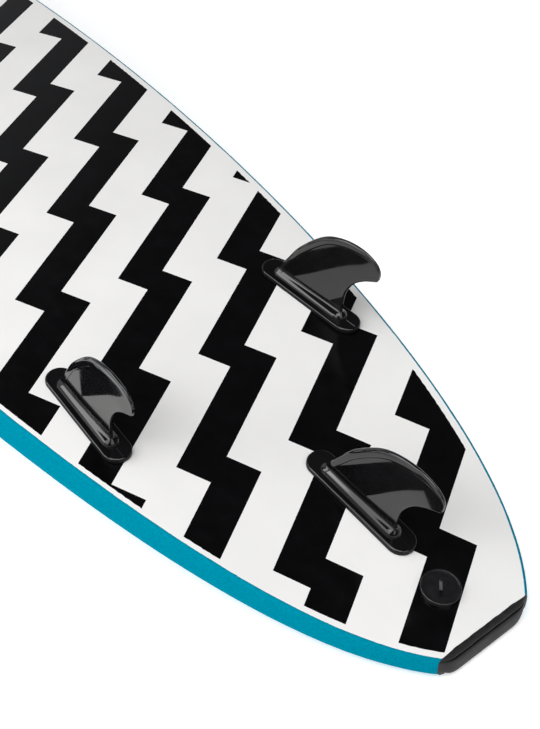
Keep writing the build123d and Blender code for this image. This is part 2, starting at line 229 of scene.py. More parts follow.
def loft(rings, caps=True):
    """Points and faces of a skin over closed rings with the same number of points."""
    points = [p for ring in rings for p in ring]
    count = len(rings[0])
    faces = []
    for k in range(len(rings) - 1):
        for i in range(count):
            j = (i + 1) % count
            faces.append((k * count + i, k * count + j, (k + 1) * count + j, (k + 1) * count + i))
    if caps:
        faces.append(tuple(reversed(range(count))))
        faces.append(tuple(range((len(rings) - 1) * count, len(rings) * count)))
    return points, faces


def add_shape(points, faces, more, walls):
    """Put a closed shape's points and faces after those of a mesh."""
    start = len(points)
    points += more
    faces += [tuple(i + start for i in face) for face in walls]


def lathe(profile, turns=64):
    """Points and faces of a solid of revolution round z, from a profile of (radius, height)."""
    points, faces, rows = [], [], []
    for radius, height in profile:
        if radius == 0.0:
            rows.append([len(points)] * turns)
            points.append((0.0, 0.0, height))
            continue
        rows.append(list(range(len(points), len(points) + turns)))
        for k in range(turns):
            turn = 2.0 * math.pi * k / turns
            points.append((radius * math.cos(turn), radius * math.sin(turn), height))
    for low, high in zip(rows, rows[1:]):
        for k in range(turns):
            j = (k + 1) % turns
            corner = dict.fromkeys((low[k], low[j], high[j], high[k]))
            if len(corner) > 2:
                faces.append(tuple(corner))
    return points, faces


def quarter_turn(count):
    """Sine and cosine at even steps of a quarter turn, both ends kept."""
    turns = [math.pi / 2 * k / count for k in range(count + 1)]
    return [(math.sin(a), math.cos(a)) for a in turns]


def cut(piece, points, faces, place):
    """Take a closed shape out of a piece for good."""
    tool = make_object("cutter", points, faces, place=place)
    finish_mesh(tool)
    modifier = piece.modifiers.new("cut", "BOOLEAN")
    modifier.operation, modifier.solver, modifier.object = "DIFFERENCE", "EXACT", tool
    shown = bpy.context.evaluated_depsgraph_get()
    mesh = bpy.data.meshes.new_from_object(piece.evaluated_get(shown))
    piece.modifiers.clear()
    piece.data = mesh
    bpy.data.objects.remove(tool)


def running_length(line):
    """Distance along a line of points, at each of them."""
    found = [0.0]
    for p, q in zip(line, line[1:]):
        found.append(found[-1] + math.dist(p, q))
    return found


def spans_at(lengths, targets):
    """For each distance in targets, the span of the line that it falls in and how far along that span."""
    k = 0
    for target in targets:
        while k < len(lengths) - 2 and lengths[k + 1] < target:
            k += 1
        yield k, (target - lengths[k]) / max(lengths[k + 1] - lengths[k], 1e-9)


def curve_through(points, count, fineness=24):
    """Even points along a smooth curve through the given ones."""
    fine = []
    line = [Vector(p) for p in points]
    line = [2 * line[0] - line[1]] + line + [2 * line[-1] - line[-2]]
    for a, b, c, d in zip(line, line[1:], line[2:], line[3:]):
        for k in range(fineness):
            t = k / fineness
            bend = (3 * b - a - 3 * c + d) * t**3 + (2 * a - 5 * b + 4 * c - d) * t**2
            fine.append(0.5 * (bend + (c - a) * t + 2 * b))
    fine.append(line[-2])
    lengths = running_length(fine)
    targets = [lengths[-1] * step / count for step in range(count + 1)]
    return [fine[k].lerp(fine[k + 1], t) for k, t in spans_at(lengths, targets)]


# ---- materials ----
def set_input(tree, node, name, value):
    """Set a node's input, or link it to another node's output."""
    if isinstance(value, bpy.types.NodeSocket):
        tree.links.new(value, node.inputs[name])
    else:
        node.inputs[name].default_value = value


def add_node(tree, kind, inputs, operation=None):
    """Outputs of a new shader node with those inputs."""
    node = tree.nodes.new("ShaderNode" + kind)
    if operation:
        node.operation = operation
    for name, value in inputs.items():
        set_input(tree, node, name, value)
    return node.outputs


def map_range(tree, value, low, high, out_low, out_high):
    """Remap a value's low..high to out_low..out_high."""
    ends = {"From Min": low, "From Max": high, "To Min": out_low, "To Max": out_high, "Value": value}
    return add_node(tree, "MapRange", ends)["Result"]


class Finish:
    """A Principled material with the few node chains that the finishes share."""

    def __init__(self, name, roughness, metallic=0.0, ior=1.5):
        self.material = bpy.data.materials.new(name)
        self.material.use_nodes = True
        self.tree = self.material.node_tree
        self.place = add_node(self.tree, "TexCoord", {})["Object"]
        self.relief = None
        self.set("Roughness", roughness)
        self.set("Metallic", metallic)
        self.set("IOR", ior)

    def set(self, name, value):
        """Set or link an input of the shader."""
        set_input(self.tree, self.tree.nodes["Principled BSDF"], name, value)

    def stretched(self, scale):
        """The place on the object, scaled differently along each axis."""
        return add_node(self.tree, "Mapping", {"Scale": scale, "Vector": self.place})["Vector"]

    def noise(self, scale, detail=3.0, rough=0.5, vector=None):
        """Height of a noise pattern, with scale in cells per metre."""
        inputs = {"Scale": scale, "Detail": detail, "Roughness": rough, "Vector": vector or self.place}
        return add_node(self.tree, "TexNoise", inputs)["Fac"]

    def cells(self, scale):
        """Distance pattern of rounded cells."""
        return add_node(self.tree, "TexVoronoi", {"Scale": scale, "Vector": self.place})["Distance"]

    def colour(self, pattern, *stops):
        """Colour by a pattern through (position, red, green, blue) stops."""
        ramp = self.tree.nodes.new("ShaderNodeValToRGB")
        while len(ramp.color_ramp.elements) < len(stops):
            ramp.color_ramp.elements.new(0.5)
        for element, (position, *rgb) in zip(ramp.color_ramp.elements, stops):
            element.position = position
            element.color = (*rgb, 1.0)
        set_input(self.tree, ramp, "Fac", pattern)
        self.set("Base Color", ramp.outputs["Color"])

    def roughness(self, pattern, low, high):
        """Roughness that varies with a pattern."""
        self.set("Roughness", map_range(self.tree, pattern, 0.3, 0.7, low, high))

    def bump(self, pattern, height, strength=1.0):
        """Relief of that height in metres, on top of any before it."""
        inputs = {"Distance": height, "Strength": strength, "Height": pattern}
        if self.relief:
            inputs["Normal"] = self.relief
        self.relief = add_node(self.tree, "Bump", inputs)["Normal"]
        self.set("Normal", self.relief)


def gloss_sheet(name, patch, dark, light):
    """Glossy polyethylene sheet, faintly clouded, with fine handling marks."""
    finish = Finish(name, 0.16, ior=1.46)
    finish.colour(finish.noise(patch, 4.0), (0.3, *dark), (0.7, *light))
    finish.roughness(finish.noise(60.0, 5.0), 0.12, 0.2)
    finish.bump(finish.noise(14.0, 2.0), 0.0004, 0.25)
    finish.bump(finish.noise(260.0, 3.0, vector=finish.stretched((0.25, 1.0, 1.0))), 0.00004, 0.4)
    return finish.material


def foam_skin():
    """Teal closed-cell foam, pebbled and matte."""
    finish = Finish("foam_skin", 0.62)
    teals = (0.25, 0.0, 0.16, 0.235), (0.5, 0.0, 0.195, 0.285), (0.75, 0.0, 0.23, 0.32)
    finish.colour(finish.noise(420.0, 4.0, 0.6), *teals)
    finish.set("Specular IOR Level", 0.0)
    finish.bump(finish.cells(700.0), 0.00035, 0.6)
    finish.bump(finish.noise(1500.0, 2.0), 0.0002, 0.5)
    return finish.material


def rubber(name, streak, lump, colours):
    """Charcoal rubber in streaks along the board's end, with lumps of that height in metres."""
    finish = Finish(name, 0.5)
    streaks = finish.noise(280.0, 6.0, 0.68, finish.stretched((1.0, streak, 1.0)))
    finish.colour(streaks, *[(place, 1.05 * grey, 0.97 * grey, 1.03 * grey) for place, grey in colours])
    finish.set("Specular IOR Level", 0.15)
    finish.roughness(streaks, 0.45, 0.68)
    finish.bump(streaks, lump, 0.7)
    finish.bump(finish.noise(1700.0, 2.0), 0.0002, 0.5)
    return finish.material


def fin_plastic():
    """Polished black moulding with a trace of flow in its gloss."""
    finish = Finish("fin_plastic", 0.06)
    finish.colour(finish.noise(25.0), (0.3, 0.0028, 0.0028, 0.0032), (0.7, 0.0048, 0.0047, 0.0052))
    finish.roughness(finish.noise(45.0, 4.0), 0.045, 0.09)
    finish.bump(finish.noise(70.0, 2.0), 0.00008, 0.3)
    return finish.material


def fin_flank():
    """The same moulding left matt on the flange's side."""
    finish = Finish("fin_flank", 0.5)
    finish.colour(finish.noise(400.0, 4.0), (0.3, 0.004, 0.004, 0.0045), (0.7, 0.009, 0.009, 0.0095))
    finish.set("Specular IOR Level", 0.15)
    finish.bump(finish.noise(1200.0, 3.0), 0.0001, 0.5)
    return finish.material


def plug_plastic():
    """Black moulded plastic, satin."""
    finish = Finish("plug_plastic", 0.14)
    finish.colour(finish.noise(90.0), (0.3, 0.007, 0.007, 0.0078), (0.7, 0.012, 0.012, 0.013))
    finish.roughness(finish.noise(150.0, 4.0), 0.12, 0.2)
    finish.bump(finish.noise(700.0, 3.0), 0.00003, 0.4)
    return finish.material


def screw_plastic():
    """Glass-filled nylon, matt and slightly mottled."""
    finish = Finish("screw_plastic", 0.45)
    finish.colour(finish.noise(500.0, 5.0), (0.35, 0.012, 0.012, 0.012), (0.7, 0.03, 0.03, 0.03))
    finish.roughness(finish.noise(300.0), 0.38, 0.55)
    finish.bump(finish.noise(900.0), 0.0001, 0.5)
    return finish.material


def metal(name, dark, light, grain):
    """Turned metal with fine lines and a little tarnish."""
    finish = Finish(name, 0.3, metallic=1.0)
    finish.colour(finish.noise(350.0, 5.0), (0.3, *dark), (0.7, *light))
    finish.roughness(finish.noise(600.0, 4.0), 0.2, 0.42)
    finish.bump(finish.noise(grain, 2.0, vector=finish.stretched((0.1, 0.1, 1.0))), 0.00004, 0.4)
    return finish.material


def core_foam():
    """White expanded beads."""
    finish = Finish("core_foam", 0.8)
    finish.colour(finish.cells(320.0), (0.0, 0.88, 0.88, 0.86), (0.6, 0.74, 0.74, 0.71))
    finish.bump(finish.cells(320.0), 0.0006, 0.7)
    return finish.material


def plywood():
    """Birch ply: long grain, with darker lines."""
    finish = Finish("ply", 0.6)
    grain = finish.noise(220.0, 6.0, 0.6, finish.stretched((0.04, 1.0, 1.0)))
    finish.colour(grain, (0.3, 0.42, 0.27, 0.13), (0.55, 0.62, 0.44, 0.25), (0.8, 0.72, 0.55, 0.34))
    finish.bump(grain, 0.0003, 0.5)
    return finish.material


FINISHES = {
    "slick": gloss_sheet("slick_white", 9.0, (0.76, 0.755, 0.745), (0.81, 0.805, 0.795)),
    "print": gloss_sheet("slick_black", 30.0, (0.0008, 0.0008, 0.001), (0.0018, 0.0018, 0.0022)),
    "foam_skin": foam_skin(),
    "bumper_rubber": rubber("bumper_rubber", 0.16, 0.0003, [(0.3, 0.011), (0.55, 0.017), (0.8, 0.027)]),
    "bumper_band": rubber("bumper_band", 0.35, 0.0014, [(0.35, 0.008), (0.6, 0.016), (0.85, 0.05)]),
    # Near-black rubber for the crease's faces: painted shade standing for the shadow that falls in the
    # crease
    "bumper_crease_painted_shade": rubber("bumper_crease_painted_shade", 0.3, 0.0006, [(0.3, 0.001), (0.8, 0.003)]),
    "fin_plastic": fin_plastic(),
    "fin_flank": fin_flank(),
    "plug_plastic": plug_plastic(),
    "screw_plastic": screw_plastic(),
    "core_foam": core_foam(),
    "ply": plywood(),
    "brass": metal("brass", (0.42, 0.25, 0.08), (0.72, 0.5, 0.2), 2500.0),
    "steel": metal("steel", (0.38, 0.38, 0.39), (0.62, 0.62, 0.63), 3000.0),
}


# ---- slick bottom ----
CORNER = 1.5                 # how far from a tail or nose corner its rounding starts
EDGE_ROUND = 0.35            # of the sheet's top edge
NOSE_SLICK_END = NOSE_X - END_BULGE
EDGE_STEP, RIB = 12.0, 30.0  # spacing of the edge's points, and of the mesh's ribs, along the board
EDGE_WAVER = 0.25            # of the hand-trimmed edge
DISH_RADIUS, DISH_RIM, DISH_DEPTH = 29.0, 19.0, 0.6  # pressed into the slick round the leash plug
DISH_RINGS = range(12, 31, 2)  # radii of the mesh's circles there
PRINT_MARGIN_LEFT, PRINT_MARGIN_RIGHT, PRINT_MARGIN_TAIL = 5.5, 8.7, 3.0
PRINT_TAIL_INSET, PRINT_TAIL_REACH = 4.5, 120.0  # more margin on the left, fading from the tail
PRINT_STEP, PRINT_RAGGED, RAGGED_RATE = 3.5, 0.4, 7.0

# The zigzag, laid out flat along the tail's own slope: strips start at PRINT_START plus whole numbers of
# NEXT_STRIP, and each runs in alternate short steps and long steps. A black band is as wide as BAND.
TAIL_SLOPE = math.radians(8.345)
PRINT_START, NEXT_STRIP = Vector((1173.5, -229.4)), Vector((-161.25, 0.16))
REPEAT, SHORT_STEP, BAND = Vector((-118.97, 118.63)), Vector((-38.11, -16.86)), Vector((-20.71, -51.48))
PRINT_Y_SHIFT = -2.0
STRIPS, REPEATS = range(-9, 6), range(-2, 6)


def rounded_corner(start, corner, end, count=8):
    """Points of a smooth bend from start to end that is tangent to both sides of the corner."""
    found = []
    for k in range(count + 1):
        t = k / count
        found.append(Vector(start).lerp(corner, t).lerp(Vector(corner).lerp(end, t), t))
    return found


def flat_half_width(s):
    """Half the width of the slick's flat top, inside its rounded edge, at s."""
    return slick_half_width(s) - EDGE_ROUND


def left_edge():
    """Left edge of the slick's flat top as (s, y): tail corner, side wavering as trimmed, nose corner."""
    width, far = flat_half_width(0.0), CORNER / 2
    tail = rounded_corner((EDGE_ROUND, width - CORNER), (EDGE_ROUND, width), (far, flat_half_width(far)))
    side = steps(CORNER, NOSE_SLICK_END - 2 * CORNER, EDGE_STEP)
    points = [Vector((s, flat_half_width(s) + EDGE_WAVER * waver(s))) for s in side]
    width, far, end = flat_half_width(NOSE_SLICK_END), NOSE_SLICK_END - CORNER, NOSE_SLICK_END - EDGE_ROUND
    return tail + points + rounded_corner((far, flat_half_width(far)), (end, width), (end, width - CORNER))


def print_limit():
    """Edge of the printed area: the slick's edge moved in, by more on the right, and ragged."""
    left, right = [], []
    for s in steps(PRINT_MARGIN_TAIL, NOSE_SLICK_END - PRINT_MARGIN_TAIL, PRINT_STEP):
        near_tail = PRINT_TAIL_INSET * math.exp(-s / PRINT_TAIL_REACH)
        ragged = PRINT_RAGGED * waver(RAGGED_RATE * s, 2.0)
        left.append(Vector((s, slick_half_width(s) - PRINT_MARGIN_LEFT - near_tail + ragged)))
        right.append(Vector((s, PRINT_MARGIN_RIGHT - slick_half_width(s) + ragged)))
    return left + right[::-1]


def on_board(flat):
    """(s, y) of a point of the flat layout."""
    s = flat.x
    for _ in range(6):
        s = (flat.x - (bottom(s) - bottom(0.0)) * math.sin(TAIL_SLOPE)) / math.cos(TAIL_SLOPE)
    return Vector((s, flat.y + PRINT_Y_SHIFT))


def bands():
    """Every black band as a closed outline."""
    found = []
    for strip in STRIPS:
        start = PRINT_START + strip * NEXT_STRIP
        side = []
        for step in REPEATS:
            side += [start + step * REPEAT, start + step * REPEAT + SHORT_STEP]
        found.append([on_board(p) for p in side] + [on_board(p + BAND) for p in reversed(side)])
    return found


def circle(centre, radius, count=32):
    """Points of a circle in plan."""
    turns = [2.0 * math.pi * k / count for k in range(count)]
    return [centre + radius * Vector((math.cos(a), math.sin(a))) for a in turns]


def plug_centres():
    """Where the fin posts and the leash plug come through the bottom, as (s, y)."""
    found = [Vector((LEASH_X, LEASH_Y))]
    for place in FINS.values():
        for x in POSTS:
            p = seat(*place) @ Vector((x, 0.0, 0.0))
            found.append(Vector((p.x - TAIL_X, p.y)))
    return found


def dish(s, y):
    """How far the slick is pressed in round the leash plug."""
    away = math.hypot(s - LEASH_X, y - LEASH_Y)
    return DISH_DEPTH * (1.0 - ease((away - DISH_RIM) / (DISH_RADIUS - DISH_RIM)))


def slick_normal(s, y):
    """The bottom's own normal."""
    along = (bottom(s + 0.5) - dish(s + 0.5, y)) - (bottom(s - 0.5) - dish(s - 0.5, y))
    across = dish(s, y - 0.5) - dish(s, y + 0.5)
    return Vector((-along, -across, 1.0)).normalized()


def slick_plan():
    """Faces of the slick in plan: points, faces, and whether each face is printed."""
    points, edges, outlines = [], [], []

    def add_outline(line):
        turning = sum(a.cross(b) for a, b in zip(line, line[1:] + line[:1]))
        outlines.append(list(range(len(points), len(points) + len(line))))
        points.extend(line if turning > 0 else line[::-1])

    edge = left_edge()
    add_outline(edge + [Vector((p.x, -p.y)) for p in reversed(edge)])
    add_outline(print_limit())
    holes = [circle(centre, SLEEVE_RADIUS + SEATED) for centre in plug_centres()]
    for hole in holes:
        add_outline(hole)
    for band in bands():
        add_outline(band)
    reach = 1.2 * SLICK_HALF_WIDTH
    for s in steps(0.0, NOSE_SLICK_END, RIB):
        edges.append((len(points), len(points) + 1))
        points.extend([Vector((s, -reach)), Vector((s, reach))])
    for radius in DISH_RINGS:
        points.extend(circle(Vector((LEASH_X, LEASH_Y)), radius, 48))
    flat, _, faces, _, _, sources = delaunay_2d_cdt(points, edges, outlines, 0, 1e-4, True)
    hole_ids = set(range(2, 2 + len(holes)))
    kept, printed = [], []
    for face, source in zip(faces, sources):
        inside = set(source)
        if 0 in inside and not inside & hole_ids:
            kept.append(tuple(face))
            printed.append(1 in inside and bool(inside - hole_ids - {0, 1}))
    return flat, kept, printed


def drop_unused(points, faces):
    """The points that the faces use, and the faces numbered to match."""
    used = sorted({i for face in faces for i in face})
    fresh = {old: new for new, old in enumerate(used)}
    return [points[i] for i in used], [tuple(fresh[i] for i in face) for face in faces]


def rim_edges(faces):
    """Edges that only one face has, in that face's direction."""
    rim = {}
    for face in faces:
        for edge in zip(face, face[1:] + face[:1]):
            if rim.pop(edge[::-1], None) is None:
                rim[edge] = True
    return list(rim)


def rim_outward(flat, rim):
    """Direction out of the sheet, in plan, at each point of its rim."""
    found = {}
    for a, b in rim:
        step = (flat[b] - flat[a]).normalized()
        for i in (a, b):
            found[i] = found.get(i, Vector((0.0, 0.0))) + Vector((step.y, -step.x))
    return {i: way.normalized() for i, way in found.items()}


def slick_mesh(flat, faces):
    """Points and faces of the sheet: the top as given, its rounded rim, and the underside."""
    rim = rim_edges(faces)
    outward = rim_outward(flat, rim)
    heights = [bottom(p.x) - dish(p.x, p.y) for p in flat]
    points = [(TAIL_X + p.x, p.y, z) for p, z in zip(flat, heights)]
    side, under = {}, {}
    for i, way in outward.items():
        p = flat[i] + way * EDGE_ROUND
        side[i] = len(points)
        points.append((TAIL_X + p.x, p.y, heights[i] - EDGE_ROUND))
    for i, top in enumerate(flat):
        p = top + outward.get(i, Vector((0.0, 0.0))) * EDGE_ROUND
        under[i] = len(points)
        points.append((TAIL_X + p.x, p.y, heights[i] - SLICK))
    walls = []
    for a, b in rim:
        walls += [(b, a, side[a], side[b]), (side[b], side[a], under[a], under[b])]
    return points, faces + walls + [tuple(under[i] for i in reversed(face)) for face in faces]


def make_slick():
    """The sheet with its print, shaded on top as the smooth surface that it stands for."""
    flat, faces, printed = slick_plan()
    flat, faces = drop_unused(flat, faces)
    points, all_faces = slick_mesh(flat, faces)
    looks = [int(black) for black in printed] + [0] * (len(all_faces) - len(faces))
    piece = make_object("slick_sheet", points, all_faces, (FINISHES["slick"], FINISHES["print"]), looks)
    piece.data.shade_smooth()
    piece.data.set_sharp_from_angle(angle=math.radians(SHARP_ANGLE))
    normals = [corner.vector.copy() for corner in piece.data.corner_normals]
    for face in piece.data.polygons[:len(faces)]:
        for loop in face.loop_indices:
            p = flat[piece.data.loops[loop].vertex_index]
            normals[loop] = slick_normal(p.x, p.y)
    piece.data.normals_split_custom_set(normals)
    return piece


# ---- deck skin and rails ----
LIP_STAND = 0.8              # how far the skin stays in where the bumpers lap over it
LIP_FADE = 4                 # deck steps over which that begins
TAIL_LAP, NOSE_LAP, LAP_FADE = 30.0, 40.0, 40.0
END_TUCK, TUCK_LENGTH, TUCK_FADE = 4.0, 4.7, 0.2  # chamfer of the skin's tail end, inside the bumper
CORNER_STEPS, SIDE_STEPS, DECK_STEPS = 7, 5, 22
UNDER_EDGE = 0.5             # how far the skin's edge reaches in under the slick's
RAIL_CORNER, RAIL_SWELL = 7.0, 0.3  # depth of the rail's rounded edge, and how full its side is
WALL_STEP = 0.2              # keeps the points of the rail's inside apart
SKIN_LEAST = 1.0             # thickness of the skin where it lies on the floor
SPANS = (                    # (from, to, step) of the skin's sections
    (TAIL_END, 43.0, 5.0), (55.0, 2380.0, 19.0), (2386.0, NOSE_X - NOSE_END, 4.0),
)
OPENING_LOW, OPENING_HIGH = -130.0, -10.0  # where a plug's opening is cut, on its own axis


def lapped(s):
    """1 where a bumper laps over the deck, easing to 0 past its lip."""
    return max(1.0 - ease((s - TAIL_LAP) / LAP_FADE), 1.0 - ease((NOSE_X - s - NOSE_LAP) / LAP_FADE))


def rail_profile(s):
    """Left half of the outer section at s as (y, depth), from the slick's edge to the deck's middle."""
    edge, side, depth = slick_half_width(s), slick_half_width(s) + RAIL_BULGE, rail_depth(s)
    points = [(edge - UNDER_EDGE, 0.0)]
    for sine, cosine in quarter_turn(CORNER_STEPS):
        points.append((edge + RAIL_BULGE * sine, RAIL_CORNER * (1.0 - cosine)))
    for k in range(1, SIDE_STEPS + 1):
        t = k / SIDE_STEPS
        points.append((side + RAIL_SWELL * math.sin(math.pi * t), mix(RAIL_CORNER, depth, t)))
    for k in range(1, DECK_STEPS + 1):
        y = side * (1.0 - (k / DECK_STEPS) ** DECK_POWER)
        inboard = 1.0 - ease((y / side - 1.0 + TUCK_FADE) / TUCK_FADE)
        tuck = END_TUCK * max(1.0 - s / TUCK_LENGTH, 0.0) * inboard
        points.append((y, deck_depth(s, y) - LIP_STAND * lapped(s) * ease(k / LIP_FADE) - tuck))
    return points


def inner_profile(s):
    """Left half of the section's inside, point for point beside the outer one."""
    outer = rail_profile(s)
    edge, wall = slick_half_width(s), slick_half_width(s) + RAIL_BULGE - SKIN
    depth, full = rail_depth(s), thickness(s) - SKIN
    points = []
    for k, (_, down) in enumerate(outer):
        on_deck = k - CORNER_STEPS - 1 - SIDE_STEPS
        if k <= 2:
            points.append((mix(edge - UNDER_EDGE, wall, k / 2), SLICK))
        elif on_deck <= 0:
            points.append((wall, max(down, SLICK + WALL_STEP * k)))
        else:
            side = 1.0 - (on_deck / DECK_STEPS) ** DECK_POWER
            points.append((wall * side, depth + (full - depth) * crown(side)))
    return points


def both_sides(half):
    """A left half section of (y, depth), carried on over the middle to the right."""
    return half + [(-y, depth) for y, depth in half[-2::-1]]


def skin_ring(s):
    """One closed section of the skin: along the outside, then back along the inside."""
    x, z, rest = TAIL_X + s, bottom(s), LIP_STAND * lapped(s)
    outer, inner = both_sides(rail_profile(s)), both_sides(inner_profile(s))
    ring = [(x, y, max(z - depth, rest)) for y, depth in outer]
    return ring + [(x, y, max(z - depth, rest + SKIN_LEAST)) for y, depth in reversed(inner)]


def make_deck_skin():
    """Foam sheet over both rails and the deck, open for the plugs' flanges."""
    rings = [skin_ring(s) for span in SPANS for s in steps(*span)]
    points, faces = loft(rings, caps=False)
    count, half = len(rings[0]), len(rings[0]) // 2
    last = len(points) - count
    for k in range(half - 1):
        faces.append((k, count - 1 - k, count - 2 - k, k + 1))
        faces.append((last + k, last + k + 1, last + count - 2 - k, last + count - 1 - k))
    piece = make_object("deck_foam", points, faces, (FINISHES["foam_skin"],))
    finish_mesh(piece)
    for place, radius in plug_openings():
        hole = [(0.0, OPENING_LOW), (radius, OPENING_LOW), (radius, OPENING_HIGH), (0.0, OPENING_HIGH)]
        cut(piece, *lathe(hole, 48), place)
    finish_mesh(piece)
    return piece


def plug_openings():
    """Frame and radius of each opening in the deck."""
    posts = [seat(*place) @ Matrix.Translation((x, 0.0, 0.0)) for place in FINS.values() for x in POSTS]
    found = [(seat(LEASH_X, LEASH_Y), CUP_FLANGE_RADIUS + SEATED)]
    return found + [(post, SLEEVE_FLANGE_RADIUS + SEATED) for post in posts]


# ---- bumpers ----
# Each is a strip swept across its end of the board. The profile is (share of the bulge, depth): an upper
# band, a crease, a full lower band, and a foot that reaches the deck.
CREASE_PROFILE = [
    (-0.16, 0.0), (-0.15, -0.4), (-0.04, -0.6), (0.12, -0.4), (0.3, 0.4), (0.47, 1.6), (0.62, 3.2),
    (0.72, 4.9), (0.66, 5.9), (0.4, 6.4), (0.4, 7.1), (0.78, 7.7), (0.88, 8.6), (0.95, 10.2), (1.0, 13.0),
    (1.0, 17.0), (1.0, 21.0), (0.98, 25.0), (0.9, 28.5), (0.68, 31.5), (0.3, 33.2), (-0.2, 33.8),
]
CREASE_START, CREASE_END = 7, 11  # points of the profile where the crease starts and ends
END_STEP = 2.5               # between the strip's sections
CORNER_TURN = 20.0           # how far along the end the corner's turn spreads
BAND_WAVER, BAND_WAVER_RATE = 0.35, 3.1  # of the band's edge
RAIL_START = 0.55            # share of the rail's bulge where a bumper's side takes up the rail's curve
LIP, LIP_STEPS, LIP_GAP = 2.0, 5, 0.2  # thickness of the lip under the deck, and its gap to the slick
TAIL_LIP_END, NOSE_LIP_LENGTH, LIP_TAPER = 28.0, 45.0, 0.9
LIP_TURN_START = 0.2         # share of the corner's turn where the lip starts to draw back
BUMPER_SHARP_ANGLE = 50.0


def end_path(tail):
    """Inner edge of a bumper on the left, from the middle out, as (point, bulge vector, share of corner)."""
    way, start, end = (-1.0, 0.0, TAIL_END) if tail else (1.0, NOSE_SLICK_END, NOSE_X - NOSE_END)
    width = slick_half_width(start)
    bend = rounded_corner((start, width - CORNER), (start, width), (end, slick_half_width(end)))
    points = [Vector((start, y)) for y in steps(0.0, bend[0].y, END_STEP)[:-1]] + bend
    lengths = running_length(points)
    found = []
    for p, along in zip(points, lengths):
        turned = ease(1.0 - (lengths[-1] - along) / CORNER_TURN)
        turn = turned * math.pi / 2
        outward = way * END_BULGE * math.cos(turn)
        found.append((p, Vector((outward, mix(END_BULGE, RAIL_BULGE, turned) * math.sin(turn))), turned))
    return found


def rail_match(s):
    """The rail's own profile at s as (share of the bulge, depth), one for each point of the crease's."""
    outer, edge = rail_profile(s), slick_half_width(s)
    line = [(y - edge, d) for y, d in outer if y >= edge + RAIL_START * RAIL_BULGE or d < RAIL_CORNER]
    lengths = running_length(line)
    wanted = running_length([(f * END_BULGE, d) for f, d in CREASE_PROFILE])
    found = []
    for k, t in spans_at(lengths, [lengths[-1] * along / wanted[-1] for along in wanted]):
        (y0, d0), (y1, d1) = line[k], line[k + 1]
        found.append((mix(y0, y1, t) / RAIL_BULGE, mix(d0, d1, t)))
    return found


def bumper_ring(point, bulge, turned, end, lip_s):
    """One closed section of a bumper."""
    z, deck = bottom(point.x), deck_depth(point.x, point.y)
    ring = []
    for k, ((f0, d0), (f1, d1)) in enumerate(zip(CREASE_PROFILE, rail_match(end))):
        f, d = mix(f0, f1, turned), mix(min(d0, deck), d1, turned)
        wave = BAND_WAVER * waver(BAND_WAVER_RATE * point.y, 1.0) * (1.0 - turned) if k < CREASE_END else 0.0
        p = point + bulge * (f + wave / END_BULGE)
        ring.append((TAIL_X + p.x, p.y, max(z - d, 0.0)))
    foot = Vector((ring[-1][0] - TAIL_X, ring[-1][1]))
    drawn_back = ease((turned - LIP_TURN_START) / (1.0 - LIP_TURN_START))
    lip = Vector((mix(lip_s, end, drawn_back), point.y * mix(1.0, LIP_TAPER, turned)))
    for k in range(1, LIP_STEPS + 1):
        p = foot.lerp(lip, k / LIP_STEPS)
        ring.append((TAIL_X + p.x, p.y, max(bottom(p.x) - deck_depth(p.x, p.y), 0.0)))
    ring += [(x, y, height + LIP) for x, y, height in reversed(ring[-LIP_STEPS:])]
    ring.append((TAIL_X + mix(point.x, lip.x, turned), lip.y, z - SLICK - LIP_GAP))
    return ring


def make_bumper(name, tail):
    """A bumper from its left half's sections and their mirror image."""
    end = TAIL_END if tail else NOSE_X - NOSE_END
    lip_s = TAIL_LIP_END if tail else NOSE_X - NOSE_LIP_LENGTH
    half = [bumper_ring(*station, end, lip_s) for station in end_path(tail)]
    rings = [[(x, -y, z) for x, y, z in ring] for ring in half[:0:-1]] + half
    points, faces = loft(rings)
    around = len(rings[0])
    # Faces between CREASE_START and CREASE_END take the near-black rubber, a painted shade for the crease's
    # shadow
    looks = [1] * CREASE_START + [2] * (CREASE_END - CREASE_START) + [0] * (around - CREASE_END)
    materials = [FINISHES[look] for look in ("bumper_rubber", "bumper_band", "bumper_crease_painted_shade")]
    piece = make_object(name, points, faces, materials, looks * (len(rings) - 1) + [0, 0])
    finish_mesh(piece, BUMPER_SHARP_ANGLE)
    return piece


# ---- fins ----
# A fin's own plane has x forward along the flange and its second axis up, out of the board.
FLANGE_LENGTH, FLANGE_WIDTH, FLANGE_HEIGHT, FLANGE_EDGE = 156.0, 33.0, 6.0, 2.2
FLANGE_CHAMFER, FLANGE_BORDER, EDGE_TURNS = 0.4, 0.4, 6
LEADING = [
    (53.0, 14.0), (47.2, 24.7), (35.9, 43.8), (24.3, 62.4), (0.5, 90.2), (-19.4, 107.3), (-41.4, 117.6),
    (-62.0, 122.2), (-80.0, 121.6), (-94.0, 116.6), (-100.6, 108.6), (-101.5, 100.5),
]
TRAILING = [
    (-52.6, 14.0), (-53.2, 28.0), (-56.4, 48.0), (-66.8, 67.4), (-80.3, 80.4), (-92.5, 88.4), (-99.6, 93.2),
    (-101.5, 100.5),
]
ROOT = 14.0                  # height where the blade's sections start
BLADE_STEPS = 56
ROOT_HALF, TIP_HALF, THINNING = 5.0, 1.5, 1.5  # half the blade's thickness at root and tip
FULL_CHORD = 45.0            # a shorter section has smaller edges
NOSE_ROUND, LEADING_BAND, BAND_STEP = 4.0, 9.0, 0.5  # the leading edge, and the raised band behind it
NOSE_SHARE, BAND_SHARE, BAND_EASE = 0.9, 0.97, 0.15
FACE_HOLLOW = 1.9
TRAILING_HALF, TRAILING_ROUND, TRAILING_SHARE, TRAILING_FLAT = 2.1, 1.4, 0.8, 0.35
FILLET_HEIGHT, FLARE_ENDS, FLARE_SIDES, FLARE_BLEND = ROOT - FLANGE_HEIGHT, 6.0, 4.8, 1.6
